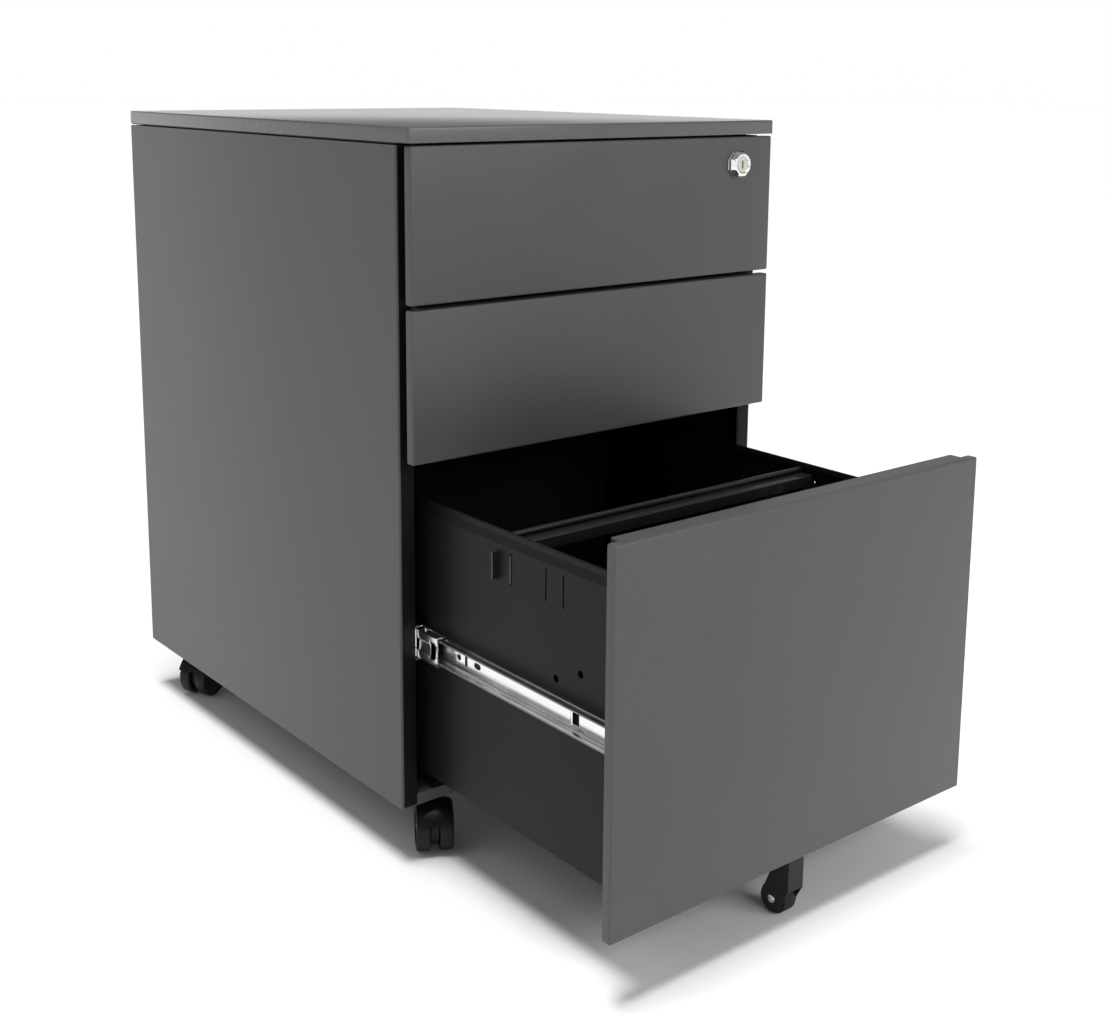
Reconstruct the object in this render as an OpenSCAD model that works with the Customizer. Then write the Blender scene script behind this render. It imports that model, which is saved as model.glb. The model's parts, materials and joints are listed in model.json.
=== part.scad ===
// Mobile metal pedestal: two box drawers over a hanging-file drawer, on four
// twin-wheel casters, with a central lock and an anti-tip wheel.
// X runs across the fronts, +Y to the back, +Z up. The origin is on the floor,
// under the middle of the whole object with the file drawer pulled out.

/* [Cabinet] */
// Width over the side panels and the top
cabinet_w = 390; // [330:5:470]
// Depth from the drawer fronts to the back
cabinet_d = 500; // [420:5:600]
// Height from the floor to the top
cabinet_h = 600; // [560:5:720]
// Thickness of the steel sheet
sheet = 1; // [0.8:0.1:1.2]
// Height of the folded top
top_t = 12; // [8:1:20]
// Shadow gap under the top
top_reveal = 2; // [1:0.5:4]
// Thickness of each double side wall
wall_w = 15; // [13:0.5:20]
// How far the side walls stand back from the drawer fronts
side_setback = 18.5; // [17:0.5:24]
// From the top of the caster wheels up to the side walls' lower edge
caster_room = 9; // [8:0.5:20]
// Height of the folded bottom pan
pan_h = 9.5; // [8:0.5:15]

/* [Drawer fronts] */
// Height of each box drawer's front
box_front_h = 120.4; // [105:0.2:135]
// Gap between one front and the next
front_gap = 3.6; // [2:0.2:6]
// How far each front is inside the cabinet's side, at its edge
front_inset = 1.6; // [0.5:0.1:3]
// From the side walls' lower edge up to the file drawer front's
front_rise = 4; // [2:0.5:12]
// Depth of the fronts' folded side edges
return_d = 8; // [6:0.5:10]
// Distance from a front's edge to the box part behind it
box_part_inset = 11.5; // [9:0.5:13]

/* [Drawer boxes] */
// How far the file drawer is pulled out, as a share of its travel
file_share = 0.79; // [0:0.01:1]
// From a box drawer front's top down to the rim of its box
box_rim_drop = 38; // [36:1:50]
// From the file drawer front's top down to the rim of its box
file_rim_drop = 33; // [20:1:60]
// From a box drawer front's lower edge up to the box
box_rise = 14; // [10:1:25]
// From the file drawer front's lower edge up to the box
file_rise = 19; // [12:1:40]
// Sideways jog of the drawer sides below their rim
rim_jog = 2.3; // [1.5:0.1:4]
// Thickness of the folded hem on the rim
hem_t = 1.8; // [1.6:0.1:2.4]

/* [Slides] */
// Space that one ball slide fills between the wall and the drawer
slide_t = 12.7; // [12.7:0.1:14]
// Height of the slide member on the cabinet
channel_h = 29; // [27:0.5:35]
// Diameter of the slide balls
ball_d = 3.6; // [3:0.1:4]
// How far the slides stand back from the side walls' front edge
slide_inset = 1.5; // [1.2:0.1:12]
// Free depth behind the slides
slide_back_room = 80; // [60:5:140]
// Overlap of the two slide members when a drawer is right out
slide_engage = 100; // [80:5:150]
// Length of the ball cages
cage_len = 134; // [110:1:150]

/* [Lock] */
// Distance from the front's right edge to the lock
lock_inset = 42.4; // [38:0.5:60]
// Distance from the front's top edge down to the lock
lock_drop = 24; // [20:1:28]
// Diameter of the lock barrel
barrel_d = 18; // [16:0.5:19]
// Diameter of the plug that the key turns
plug_d = 14; // [12:0.5:15]
// Radius at which the crank pin drives the lock bar
crank_r = 7; // [6:0.5:8]

/* [Casters] */
// Radius of the caster wheels
caster_r = 20; // [18:0.5:21]
// Distance from each caster's swivel axis to its axle
trail = 20; // [19:0.5:24]
// Width over the two wheels of a caster
caster_w = 31; // [26:1:36]
// Distance from a cabinet side to the swivel axes
caster_inset_x = 48; // [44:1:80]
// Distance from the front and from the back to the swivel axes
caster_inset_y = 46.5; // [44:0.5:80]
// Radius of the anti-tip wheel
tip_r = 12.5; // [10:0.5:14]
// Width of the anti-tip wheel
tip_w = 13; // [10:0.5:20]

/* [Hidden] */

$fn = 48;

// Colours
shell_grey = [0.33, 0.33, 0.35];
front_grey = [0.28, 0.28, 0.29];
box_black = [0.10, 0.10, 0.11];
zinc = [0.80, 0.81, 0.82];
chrome = [0.88, 0.88, 0.90];
black = [0.05, 0.05, 0.05];

// Clearances
touch = 0.1;       // between a screw and its hole
run_fit = 0.05;    // radial, round a shaft that turns
free_gap = 0.3;    // between pieces that slide past each other
part_gap = 0.6;    // between the closed drawers and the cabinet
cut = 1;           // how far a cutter stands past what it cuts

// Names for the three drawers
top = 0;
middle = 1;
file = 2;

// Length and travel of the slides
slide_front = side_setback + slide_inset;
slide_len = cabinet_d - slide_front - slide_back_room;
travel = slide_len - slide_engage;
file_open = file_share * travel;

// The cabinet lies from front_y to back_y
front_y = -(cabinet_d - file_open) / 2;
back_y = front_y + cabinet_d;
half_w = cabinet_w / 2;
inner_half = half_w - wall_w;
side_bottom = 2 * caster_r + caster_room;
slab_z = cabinet_h - top_t;
side_top = slab_z - top_reveal;

// Drawer fronts, from the top down
front_bottom = side_bottom + front_rise;
front_w = cabinet_w - 2 * front_inset;
front_step = box_front_h + front_gap;
front_top = [for (i = [0:2]) side_top - i * front_step];
front_low = [front_top[top] - box_front_h, front_top[middle] - box_front_h, front_bottom];
front_d = side_setback - part_gap;
box_part_half = front_w / 2 - box_part_inset;

// Drawer boxes
box_half = inner_half - slide_t;
box_low = [front_low[top] + box_rise, front_low[middle] + box_rise, front_bottom + file_rise];
box_rim = [
  front_top[top] - box_rim_drop,
  front_top[middle] - box_rim_drop,
  front_top[file] - file_rim_drop
];
pulled = [0, 0, file_open];
rim_low = 11;       // from the rim down to the start of the jog
rim_high = 5;       // from the rim down to the end of the jog
hem_h = 4.5;
back_overhang = 8;  // box past the slides' back end
back_flange = 10;
rim_edge = box_half - rim_jog - hem_t;

// Slides
slide_z = [for (i = [0:2]) (box_low[i] + box_rim[i]) / 2];
channel_half = channel_h / 2;
member_t = 1.2;
ball_gap = 0.1;
rail_half = channel_half - member_t - ball_d - 2 * ball_gap;
ball_z = (channel_half - member_t + rail_half) / 2;
ball_u = 7;         // from the wall to the balls' centres
channel_lip_u = 11; // from the wall to the edge of the cabinet member
rail_lip_u = 3.5;   // from the wall to the edge of the drawer member
lip_t = 1;
lip_h = 1.1;
cage_t = 0.6;
cage_web_u = 1.8;
cage_reach = 7.5;
cage_grip = 82.5;   // length of cage left in the channel with the drawer right out
rail_screw_d = 4.5;
cage_back = slide_front + cage_grip + travel / 2;
ball_count = 6;
ball_pitch = 21;

// Lock, crank and lock bar
lock_x = front_w / 2 - lock_inset;
lock_z = front_top[top] - lock_drop;
barrel_r = barrel_d / 2;
plug_r = plug_d / 2;
bezel_r = barrel_r + 3.6;
bezel_proud = 7;
bezel_sides = 8;
nut_t = 3.5;
nut_r = barrel_r + 3.5;
key_slot = [1.6, 7];
key_depth = 10;
plug_recess = 0.6;
tail = 6;           // square tail of the plug
cam_t = 2.5;
cam_r = 9.5;
pin_r = 2.5;
pin_len = 7.7;
crank_angle = -45;
lift = crank_r * sqrt(2);
barrel_back = front_d + nut_t;
cam_y = barrel_back + 1.4;
pin_x = lock_x + crank_r * cos(crank_angle);
pin_z = lock_z + crank_r * sin(crank_angle);
yoke_t = 2;
yoke_y = cam_y + cam_t + 3.7;
yoke_wall = 3;
pin_room = 0.4;
slot_half = 5;
bar_t = 3;
bar_w = 12;
bar_x = inner_half + sheet + 3;
bar_y = yoke_y + yoke_t;
lug_reach = 8;      // how far the lugs stand into the slide space
lug_h = 7;
lug_w = 8;
lug_y = bar_y + 2;
lug_slack = 1;      // between a lug and its catch
catch_rise = 4.4;   // from a box's lower edge to its catch
catch_z = [for (i = [0:2]) box_low[i] + catch_rise];
catch_y = lug_y + lug_w + part_gap;
catch_t = 1.5;
catch_foot = [14, 12];
catch_reach = 10.2;
guide_h = 12;
guide_z = [front_top[file] - 60, front_top[top] - 80];

// Casters
caster_top = side_bottom + sheet;
plate_t = 2;
plate_half = 19;
screw_pitch = 14;
screw_r = 2.1;
screw_head_r = 4;
screw_head_t = 1.6;
screw_len = 6;
kingpin_r = 4;
boss_r = 6;
boss_room = 0.55;   // from the boss to the wheels
boss_low = caster_r + sqrt(pow(caster_r, 2) - pow(trail - boss_r - boss_room, 2));
boss_top_r = 10;
boss_top_t = 2;
boss_gap = 0.5;
kingpin_end = boss_low + 1.2;
kingpin_room = 0.6;
axle_r = 3;
axle_half = 13.5;
web_half = 3.2;
web_r = 0.75 * caster_r;
web_top_drop = 3;
guard_rise = 9;     // from the axle up to the guard's lower edge
wheel_in = 3.9;
wheel_chamfer = 1.6;
wheel_rim_t = 3.5;
wheel_dish = 2;
hood_gap = 1.3;
hood_t = 1.7;
hood_r = caster_r + hood_gap + hood_t;
hood_top = caster_r + hood_r;
caster_x = half_w - caster_inset_x;
caster_y = [front_y + caster_inset_y, back_y - caster_inset_y];
// How each caster has come to stand: front left, front right, rear left, rear right
swivel = [240, 228, 207, 214];

// Caster cross-members
channel_w = 44;
channel_low = side_bottom + sheet;
pan_top = channel_low + pan_h;

// Anti-tip wheel, behind the file drawer's front
tip_axle_y = 22;    // from the front's face
tip_front_y = 5;
tip_axle_r = 2;
tip_cheek_t = 1.3;
tip_cheek_gap = 0.5;
tip_cheek_r = 10.8;
tip_cheek_low = 24; // lower edge of the bracket's front plate
tip_head_r = 3.5;
tip_head_t = 1.2;
tip_clear_z = side_bottom - 1;
tip_half = tip_w / 2 + tip_cheek_gap + tip_cheek_t;

// Hanging-file bar and the slots that it hooks into
slot_back = [163, 147, 105, 85];  // behind the front's face
slot_w = 1.5;
slot_drop = 15;     // from the rim to the slots
slot_h = 25;
bar_leg_t = 1;
bar_top_drop = 4;
bar_leg_h = 14;
hook_slack = 2;
hook_out = [5.5, 0.6];
peg_holes = [[92.5, 95], [65, 83]]; // behind the front's face, below the rim
peg_r = 3;

// Top and rails
top_edge_r = 1.6;
top_lip = 12;
rail_w = 20;
rail_h = 14;
rail_front_y = 46;
bend_r = 1.5;

// ---- helpers ----

// A flat shape in X and Z, run along +Y from y0
module along_y(y0, len) {
  translate([0, y0 + len, 0]) rotate([90, 0, 0]) linear_extrude(len) children();
}

// A flat shape in Y and Z, run along +X from x0
module along_x(x0, len) {
  translate([x0, 0, 0]) rotate([90, 0, 90]) linear_extrude(len) children();
}

// A block given by its lowest and highest corners
module block(low, high) {
  translate(low) cube(high - low);
}

// Draws its children on the right and mirrored on the left
module both_sides() {
  children();
  mirror([1, 0, 0]) children();
}

// A flat rectangle with rounded corners, from low to high
module rounded_plate(low, high, r) {
  translate([low[0], low[1] + r]) square([high[0] - low[0], high[1] - low[1] - 2 * r]);
  translate([low[0] + r, low[1]]) square([high[0] - low[0] - 2 * r, high[1] - low[1]]);
  for (x = [low[0] + r, high[0] - r], y = [low[1] + r, high[1] - r]) {
    translate([x, y]) circle(r);
  }
}

// Places a drawer's pieces: y = 0 is the face of its front
module in_drawer(i) {
  translate([0, front_y - pulled[i], 0]) children();
}

// Places cabinet pieces: y = 0 is the plane of the closed fronts
module in_cabinet() {
  translate([0, front_y, 0]) children();
}

// ---- carcass ----

module top_panel() {
  color(shell_grey) in_cabinet() difference() {
    intersection() {
      translate([0, 0, slab_z]) linear_extrude(top_t)
        rounded_plate([-half_w, 0], [half_w, cabinet_d], top_edge_r);
      along_y(-cut, cabinet_d + 2 * cut)
        rounded_plate([-half_w, slab_z], [half_w, cabinet_h], top_edge_r);
      along_x(-half_w - cut, cabinet_w + 2 * cut)
        rounded_plate([0, slab_z], [cabinet_d, cabinet_h], top_edge_r);
    }
    block([-half_w + sheet, sheet, slab_z + sheet],
          [half_w - sheet, cabinet_d - sheet, cabinet_h - sheet]);
    block([-half_w + top_lip, top_lip, slab_z - cut],
          [half_w - top_lip, cabinet_d - top_lip, slab_z + 2 * sheet]);
  }
}

// Outer skin with its front, back and bottom flanges folded inwards
module side_skin() {
  in_cabinet() difference() {
    translate([0, 0, side_bottom]) linear_extrude(side_top - side_bottom)
      intersection() {
        rounded_plate([inner_half - 2 * bend_r, side_setback], [half_w, cabinet_d], bend_r);
        translate([inner_half, side_setback]) square([wall_w, cabinet_d - side_setback]);
      }
    block([inner_half - cut, side_setback + sheet, side_bottom + sheet],
          [half_w - sheet, cabinet_d - sheet, side_top + cut]);
  }
}

module left_side_panel() {
  color(shell_grey) mirror([1, 0, 0]) side_skin();
}

module right_side_panel() {
  color(shell_grey) side_skin();
}

// Inner face of a side wall, with a flange that carries the top
module liner() {
  in_cabinet() {
    block([inner_half, side_setback + sheet, channel_low],
          [inner_half + sheet, cabinet_d - sheet, slab_z]);
    block([inner_half + sheet, side_setback + sheet, slab_z - sheet],
          [half_w - sheet - free_gap, cabinet_d - sheet, slab_z]);
  }
}

module left_liner() {
  color(box_black) mirror([1, 0, 0]) liner();
}

// The right liner has slots for the lock bar's lugs and arm
module right_liner() {
  color(box_black) difference() {
    liner();
    in_cabinet() {
      for (i = [0:2]) {
        block([inner_half - cut, lug_y - 1, catch_z[i] - lug_slack - lug_h - 1],
              [inner_half + sheet + cut, lug_y + lug_w + 1, catch_z[i] - lug_slack + lift + 1]);
      }
      block([inner_half - cut, yoke_y - 1, yoke_low() - 1],
            [inner_half + sheet + cut, yoke_y + yoke_t + 1, yoke_low() + yoke_h() + lift + 1]);
    }
  }
}

module back_panel() {
  color(shell_grey) in_cabinet() {
    block([-inner_half, cabinet_d - sheet, side_bottom], [inner_half, cabinet_d, side_top]);
    both_sides()
      block([inner_half - sheet, cabinet_d - back_flange, pan_top],
            [inner_half, cabinet_d - sheet, side_top]);
  }
}

module bottom_pan() {
  color(shell_grey) in_cabinet() difference() {
    block([-inner_half, side_setback, channel_low], [inner_half, cabinet_d - sheet, pan_top]);
    block([-inner_half + sheet, side_setback + sheet, channel_low - cut],
          [inner_half - sheet, cabinet_d - 2 * sheet, pan_top - sheet]);
  }
}

// Cross-rails under the front and the back of the top
module top_rails() {
  color(shell_grey) in_cabinet() {
    for (y = [rail_front_y, cabinet_d - sheet - back_flange - rail_w]) {
      along_x(-inner_half, 2 * inner_half) difference() {
        translate([y, slab_z - rail_h]) square([rail_w, rail_h]);
        translate([y + sheet, slab_z - rail_h - cut]) square([rail_w - 2 * sheet, rail_h]);
      }
    }
  }
}

// ---- slides; u is the distance inwards from the wall ----

// Turns a (u, z) outline into place on the right-hand wall of drawer i
module slide_place(i) {
  translate([inner_half, 0, slide_z[i]]) mirror([1, 0, 0]) children();
}

module channel_outline() {
  square_z(0, member_t, channel_half);
  for (s = [-1, 1]) scale([1, s]) {
    translate([0, channel_half - member_t]) square([channel_lip_u, member_t]);
    translate([channel_lip_u - lip_t, channel_half - member_t - lip_h]) square([lip_t, lip_h + member_t]);
  }
}

module rail_outline() {
  square_z(slide_t - member_t, slide_t, rail_half);
  for (s = [-1, 1]) scale([1, s]) {
    translate([rail_lip_u, rail_half - member_t]) square([slide_t - rail_lip_u, member_t]);
    translate([rail_lip_u, rail_half - member_t]) square([lip_t, member_t + lip_h - 0.2]);
  }
}

module cage_outline() {
  square_z(cage_web_u, cage_web_u + cage_t, ball_z + cage_t / 2);
  for (s = [-1, 1]) scale([1, s]) {
    translate([cage_web_u, ball_z - cage_t / 2]) square([cage_reach, cage_t]);
  }
}

// A strip from u0 to u1 that reaches z_half above and below the middle
module square_z(u0, u1, z_half) {
  translate([u0, -z_half]) square([u1 - u0, 2 * z_half]);
}

module slide_channels(i) {
  in_cabinet() both_sides() slide_place(i) along_y(slide_front, slide_len) channel_outline();
}

// Drawer members, with their screw holes, oblong holes and the square window
module slide_rails(i) {
  in_drawer(i) both_sides() slide_place(i) difference() {
    along_y(slide_front, slide_len) rail_outline();
    for (hole = rail_holes()) {
      translate([slide_t, hole[0], 0]) rail_hole(hole[1], hole[2]);
    }
  }
}

// Distance behind the front's face, then the length and the height of each hole
function rail_holes() = [
  [52, rail_screw_d, rail_screw_d], [100, 9, 10], [197, 8, rail_screw_d], [207, 3, 9],
  [215, rail_screw_d, rail_screw_d], [slide_front + slide_len - 30, 8, rail_screw_d]
];

// A round or oblong hole, or a square-cornered window when it is taller than a screw
module rail_hole(len, height) {
  depth = 3 * member_t;
  straight = len - height;
  if (height > rail_screw_d) {
    cube([depth, len, height], center = true);
  } else {
    rotate([0, 90, 0]) cylinder(d = height, h = depth, center = true);
    if (straight > 0) {
      translate([0, straight, 0]) rotate([0, 90, 0]) cylinder(d = height, h = depth, center = true);
      translate([0, straight / 2, 0]) cube([depth, straight, height], center = true);
    }
  }
}

// Ball cages travel half as far as their drawer
module in_cage(i) {
  translate([0, front_y - pulled[i] / 2, 0]) children();
}

function ball_y(n) = cage_back - (cage_len - (ball_count - 1) * ball_pitch) / 2 - n * ball_pitch;

module ball_cages(i) {
  in_cage(i) both_sides() slide_place(i) difference() {
    along_y(cage_back - cage_len, cage_len) cage_outline();
    for (n = [0:ball_count - 1]) {
      translate([ball_u, ball_y(n), 0])
        cylinder(d = ball_d + 2 * touch, h = channel_h, center = true);
    }
  }
}

module balls(i) {
  in_cage(i) both_sides() slide_place(i) {
    for (n = [0:ball_count - 1], s = [-1, 1]) {
      translate([ball_u, ball_y(n), s * ball_z]) sphere(d = ball_d);
    }
  }
}

// ---- drawers ----

// Front pan: side returns, and deeper top and bottom flanges inside the corner reliefs
module drawer_front(i) {
  low = front_low[i];
  high = front_top[i];
  half = front_w / 2;
  relief = 1.5;
  in_drawer(i) difference() {
    union() {
      intersection() {
        translate([0, 0, low]) linear_extrude(high - low)
          intersection() {
            rounded_plate([-half, 0], [half, 2 * front_d], bend_r);
            translate([-half, 0]) square([front_w, return_d]);
          }
        along_x(-half, front_w) rounded_plate([0, low], [2 * front_d, high], bend_r);
      }
      for (z = [low, high - sheet]) {
        block([-box_part_half, return_d - sheet, z], [box_part_half, front_d - sheet, z + sheet]);
      }
    }
    block([-half + sheet, sheet, low + sheet], [half - sheet, front_d, high - sheet]);
    both_sides() {
      block([box_part_half, return_d - 2 * relief, low - cut],
            [box_part_half + relief, return_d + cut, low + sheet + cut]);
      block([box_part_half, return_d - 2 * relief, high - sheet - cut],
            [box_part_half + relief, return_d + cut, high + cut]);
    }
  }
}

// Inner front: closes the pan and carries the drawer box
module drawer_inner_front(i) {
  low = front_low[i] + sheet;
  high = front_top[i] - sheet;
  in_drawer(i) {
    block([-box_part_half, front_d - sheet, low - sheet], [box_part_half, front_d, high + sheet]);
    both_sides()
      block([box_part_half - sheet, sheet, low], [box_part_half, front_d - sheet, high]);
  }
}

// Section of a drawer side, in X from its outer face and in Z from its lower edge
module side_outline(h) {
  hem_top = h - hem_t / 2;
  polygon([
    [0, 0], [0, h - rim_low], [-rim_jog, h - rim_high], [-rim_jog, hem_top],
    [-rim_jog - hem_t, hem_top], [-rim_jog - hem_t, h - hem_h], [-rim_jog - sheet, h - hem_h],
    [-rim_jog - sheet, h - rim_high], [-sheet, h - rim_low], [-sheet, 0]
  ]);
  translate([-rim_jog - hem_t / 2, hem_top]) circle(d = hem_t);
}

// Both sides and the bottom, folded from one sheet
module drawer_body(i) {
  h = box_rim[i] - box_low[i];
  in_drawer(i) along_y(front_d, slide_front + slide_len + back_overhang - front_d) {
    for (s = [-1, 1]) scale([s, 1]) translate([box_half, box_low[i]]) side_outline(h);
    translate([-box_half, box_low[i]]) square([2 * box_half, sheet]);
  }
}

module drawer_back(i) {
  y1 = slide_front + slide_len + back_overhang;
  half = box_half - sheet;
  low = box_low[i] + sheet;
  high = box_rim[i] - rim_low;
  in_drawer(i) {
    block([-half, y1 - sheet, low], [half, y1, high]);
    block([-rim_edge, y1 - sheet, high], [rim_edge, y1, box_rim[i]]);
    both_sides() block([half - sheet, y1 - back_flange, low], [half, y1 - sheet, high]);
    block([-rim_edge, y1 - 2 * hem_t, box_rim[i] - hem_h], [rim_edge, y1 - sheet, box_rim[i]]);
  }
}

// Catch on the drawer's right side, which a raised lug stands in front of
module catch(i) {
  z = catch_z[i];
  in_drawer(i) {
    block([box_half, catch_y, z], [box_half + sheet, catch_y + catch_foot[0], z + catch_foot[1]]);
    block([box_half, catch_y, z], [box_half + catch_reach, catch_y + catch_t, z + lug_h]);
  }
}

module file_side_cutters() {
  rim = box_rim[file];
  both_sides() {
    for (y = slot_back) {
      block([box_half - sheet - cut, y - slot_w / 2, rim - slot_drop - slot_h],
            [box_half + cut, y + slot_w / 2, rim - slot_drop]);
    }
    for (p = peg_holes) {
      translate([box_half - sheet - cut, p[0], rim - p[1]])
        rotate([0, 90, 0]) cylinder(r = peg_r, h = sheet + 2 * cut);
    }
  }
}

// Channel across the file drawer, hooked into two pairs of slots
module file_cross_bar() {
  rim = box_rim[file];
  half = rim_edge - free_gap;
  bar_top = rim - bar_top_drop;
  y_back = slot_back[0] + bar_leg_t / 2;
  y_front = slot_back[1] - bar_leg_t / 2;
  hook_top = rim - slot_drop - hook_slack;
  hook_low = hook_top - slot_h + 2 * hook_slack;
  color(box_black) in_drawer(file) {
    block([-half, y_front, bar_top - sheet], [half, y_back, bar_top]);
    for (leg = [0, 1]) {
      y = slot_back[leg] - bar_leg_t / 2;
      block([-half, y, bar_top - bar_leg_h], [half, y + bar_leg_t, bar_top - sheet]);
      both_sides()
        block([half - 12, y, hook_low], [box_half + hook_out[leg], y + bar_leg_t, hook_top]);
    }
  }
}

// ---- lock ----

module lock_hole() {
  translate([lock_x, 0, lock_z]) rotate([-90, 0, 0]) cylinder(r = barrel_r, h = 4 * front_d, center = true);
}

// Runs a round piece along +Y from y0, on the lock's axis
module on_lock_axis(y0) {
  in_drawer(top) translate([lock_x, y0, lock_z]) rotate([-90, 0, 0]) children();
}

module lock_housing() {
  color(chrome) difference() {
    union() {
      on_lock_axis(-bezel_proud) rotate(180 / bezel_sides)
        cylinder(r = bezel_r, h = bezel_proud, $fn = bezel_sides);
      on_lock_axis(0) cylinder(r = barrel_r, h = barrel_back);
    }
    on_lock_axis(-bezel_proud - cut)
      cylinder(r = plug_r + run_fit, h = bezel_proud + barrel_back + 2 * cut);
  }
}

module lock_nut() {
  color(zinc) difference() {
    on_lock_axis(front_d) cylinder(r = nut_r, h = nut_t, $fn = 6);
    on_lock_axis(front_d - cut) cylinder(r = barrel_r, h = nut_t + 2 * cut);
  }
}

module lock_plug() {
  front = -bezel_proud + plug_recess;
  color(chrome) difference() {
    union() {
      on_lock_axis(front) cylinder(r = plug_r, h = cam_y - front);
      on_lock_axis(cam_y) translate([-tail / 2, -tail / 2, 0]) cube([tail, tail, cam_t]);
    }
    on_lock_axis(front - cut) translate([-key_slot[0] / 2, -key_slot[1] / 2, 0])
      cube([key_slot[0], key_slot[1], key_depth + cut]);
  }
}

// Crank that the plug turns; its pin runs in the lock bar's arm
module lock_cam() {
  color(zinc) difference() {
    union() {
      on_lock_axis(cam_y) cylinder(r = cam_r, h = cam_t);
      on_lock_axis(cam_y + cam_t) translate([pin_x - lock_x, lock_z - pin_z, 0])
        cylinder(r = pin_r, h = pin_len);
    }
    on_lock_axis(cam_y - cut) translate([-tail / 2, -tail / 2, 0])
      cube([tail, tail, cam_t + cut]);
  }
}

function yoke_low() = pin_z - pin_r - pin_room - yoke_wall;
function yoke_h() = 2 * (pin_r + pin_room + yoke_wall);

// Upright bar in the right wall, with a slotted arm and a lug for each drawer
module lock_bar() {
  foot = catch_z[file] - lug_slack - lug_h;
  color(zinc) in_cabinet() difference() {
    union() {
      block([bar_x, bar_y, foot], [bar_x + bar_t, bar_y + bar_w, yoke_low() + yoke_h()]);
      block([bar_x, yoke_y, yoke_low()], [bar_x + bar_t, bar_y, yoke_low() + yoke_h()]);
      block([pin_x - slot_half - yoke_wall, yoke_y, yoke_low()],
            [bar_x, yoke_y + yoke_t, yoke_low() + yoke_h()]);
      for (i = [0:2]) {
        z = catch_z[i] - lug_slack - lug_h;
        block([inner_half - lug_reach, lug_y, z], [bar_x, lug_y + lug_w, z + lug_h]);
      }
    }
    block([pin_x - slot_half, yoke_y - cut, pin_z - pin_r - pin_room],
          [pin_x + slot_half, yoke_y + yoke_t + cut, pin_z + pin_r + pin_room]);
  }
}

// Two small brackets that keep the lock bar against the liner
module lock_bar_guides() {
  x0 = inner_half + sheet;
  x1 = bar_x + bar_t + free_gap;
  color(zinc) in_cabinet() {
    for (z = guide_z) {
      difference() {
        block([x0, bar_y - free_gap - sheet, z],
              [x1 + sheet, bar_y + bar_w + free_gap + sheet, z + guide_h]);
        block([x0 - cut, bar_y - free_gap, z - cut],
              [x1, bar_y + bar_w + free_gap, z + guide_h + cut]);
      }
    }
  }
}

// ---- casters; local x runs from the swivel axis to the axle ----

// Where caster n stands: 0 front left, 1 front right, 2 rear left, 3 rear right
function caster_at(n) = [n % 2 == 0 ? -caster_x : caster_x, caster_y[floor(n / 2)], 0];

module at_each_caster() {
  for (n = [0:3]) translate(caster_at(n)) children();
}

module at_each_screw() {
  for (x = [-screw_pitch, screw_pitch], y = [-screw_pitch, screw_pitch]) {
    translate([x, y, 0]) children();
  }
}

// Box-section cross-members that the caster plates are screwed to
module caster_channels() {
  half = inner_half - sheet;
  color(shell_grey) difference() {
    for (y = caster_y) {
      along_x(-half, 2 * half) difference() {
        translate([y - channel_w / 2, channel_low]) square([channel_w, pan_h - sheet]);
        translate([y - channel_w / 2 + sheet, channel_low + sheet])
          square([channel_w - 2 * sheet, pan_h - 3 * sheet]);
      }
    }
    at_each_caster() at_each_screw() translate([0, 0, channel_low - cut])
      cylinder(r = screw_r + touch, h = sheet + 2 * cut);
  }
}

module caster_plates() {
  low = caster_top - plate_t;
  color(zinc) at_each_caster() difference() {
    union() {
      translate([-plate_half, -plate_half, low]) cube([2 * plate_half, 2 * plate_half, plate_t]);
      translate([0, 0, kingpin_end]) cylinder(r = kingpin_r, h = low - kingpin_end);
    }
    at_each_screw() translate([0, 0, low - cut]) cylinder(r = screw_r + touch, h = plate_t + 2 * cut);
  }
}

module caster_screws() {
  low = caster_top - plate_t;
  color(zinc) at_each_caster() at_each_screw() {
    translate([0, 0, low - screw_head_t]) cylinder(r = screw_head_r, h = screw_head_t);
    translate([0, 0, low]) cylinder(r = screw_r, h = screw_len);
  }
}

// Places a caster's turning pieces at its swivel angle
module in_caster(n) {
  translate(caster_at(n)) rotate(swivel[n]) children();
}

// A round piece on the axle, from y0 outwards along local y
module on_axle(y0) {
  translate([trail, y0, caster_r]) rotate([-90, 0, 0]) children();
}

// Web between the wheels, swivel boss and the guard over the wheels
module caster_hood(n) {
  boss_top = caster_top - plate_t - boss_gap;
  web_low = caster_r + 1;
  color(black) in_caster(n) difference() {
    union() {
      on_axle(-web_half) cylinder(r = web_r, h = 2 * web_half);
      translate([-boss_r, -web_half, web_low])
        cube([trail + boss_r, 2 * web_half, boss_top - web_low - web_top_drop]);
      translate([0, 0, boss_low]) cylinder(r = boss_r, h = boss_top - boss_low);
      translate([0, 0, hood_top - boss_top_t]) cylinder(r = boss_top_r, h = boss_top - hood_top + boss_top_t);
      intersection() {
        difference() {
          on_axle(-caster_w / 2) cylinder(r = hood_r, h = caster_w);
          on_axle(-caster_w / 2 - cut) cylinder(r = hood_r - hood_t, h = caster_w + 2 * cut);
        }
        translate([trail - 2 * hood_r, -caster_w, caster_r + guard_rise])
          cube([3 * hood_r, 2 * caster_w, 2 * hood_r]);
      }
    }
    translate([0, 0, kingpin_end - kingpin_room]) cylinder(r = kingpin_r + run_fit, h = boss_top);
    on_axle(-web_half - cut) cylinder(r = axle_r, h = 2 * web_half + 2 * cut);
  }
}

module caster_axle(n) {
  color(zinc) in_caster(n) on_axle(-axle_half) cylinder(r = axle_r, h = 2 * axle_half);
}

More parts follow.
